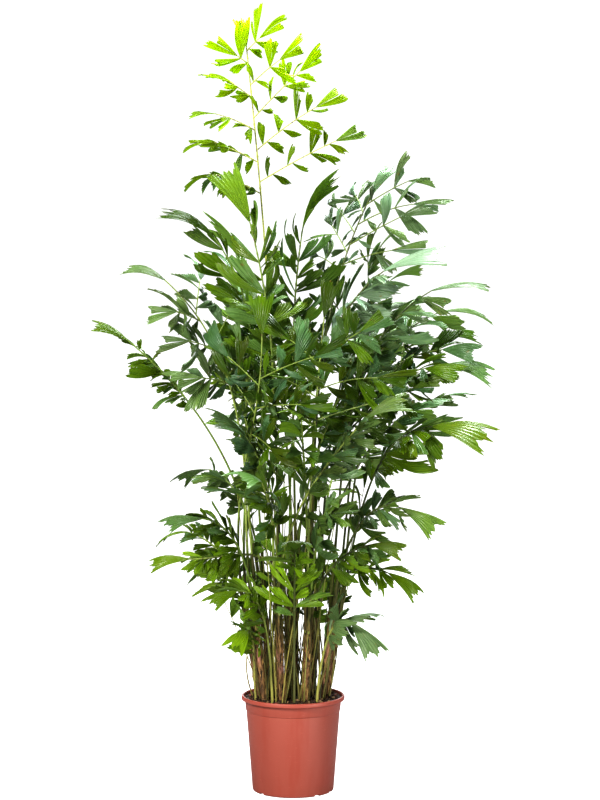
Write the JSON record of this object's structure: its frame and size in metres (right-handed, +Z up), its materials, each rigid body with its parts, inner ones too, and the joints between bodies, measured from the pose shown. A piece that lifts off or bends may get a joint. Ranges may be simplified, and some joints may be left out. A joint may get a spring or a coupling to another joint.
{
  "type": "potted palm",
  "caption": "Clumping fishtail palm with arching fronds of jagged wedge-shaped leaflets, standing in a round tapered plastic nursery pot full of soil.",
  "frame": {"origin": "centre of the pot's flat underside", "axes": "+Z up along the pot's axis, -Y towards the front of the plant as pictured, +X to its right"},
  "size_m": [0.9905, 0.8636, 1.8718],
  "materials": {
    "pot_plastic": "satin",
    "peat": "matte",
    "cane_fibre": "matte",
    "leaf": "satin",
    "young_leaf": "satin"
  },
  "bodies": {
    "root": {"pot": "pot_plastic", "soil": "peat", "cane_01": "cane_fibre", "cane_02": "cane_fibre", "cane_03": "cane_fibre", "cane_04": "cane_fibre", "cane_05": "cane_fibre", "cane_06": "cane_fibre", "cane_07": "cane_fibre", "cane_08": "cane_fibre", "cane_09": "cane_fibre", "cane_10": "cane_fibre", "cane_11": "cane_fibre", "cane_12": "cane_fibre", "frond_01": "young_leaf", "frond_02": "leaf", "frond_03": "leaf", "frond_04": "leaf", "frond_05": "leaf", "frond_06": "leaf", "frond_07": "leaf", "frond_08": "leaf", "frond_09": "leaf", "frond_10": "leaf", "frond_11": "leaf", "frond_12": "leaf", "frond_13": "leaf", "frond_14": "leaf", "frond_15": "leaf", "frond_16": "leaf", "frond_17": "leaf", "frond_18": "leaf", "frond_19": "leaf", "frond_20": "leaf", "frond_21": "leaf", "frond_22": "leaf", "frond_23": "leaf", "frond_24": "leaf", "frond_25": "leaf", "frond_26": "leaf", "frond_27": "leaf", "frond_28": "leaf", "frond_29": "leaf", "frond_30": "leaf", "frond_31": "leaf", "frond_32": "leaf", "frond_33": "leaf", "frond_34": "leaf", "frond_35": "leaf", "frond_36": "leaf", "sucker_frond_01": "leaf", "sucker_frond_02": "leaf", "sucker_frond_03": "leaf", "sucker_frond_04": "leaf", "sucker_frond_05": "leaf", "sucker_frond_06": "leaf", "sucker_frond_07": "leaf"}
  },
  "joints": []
}
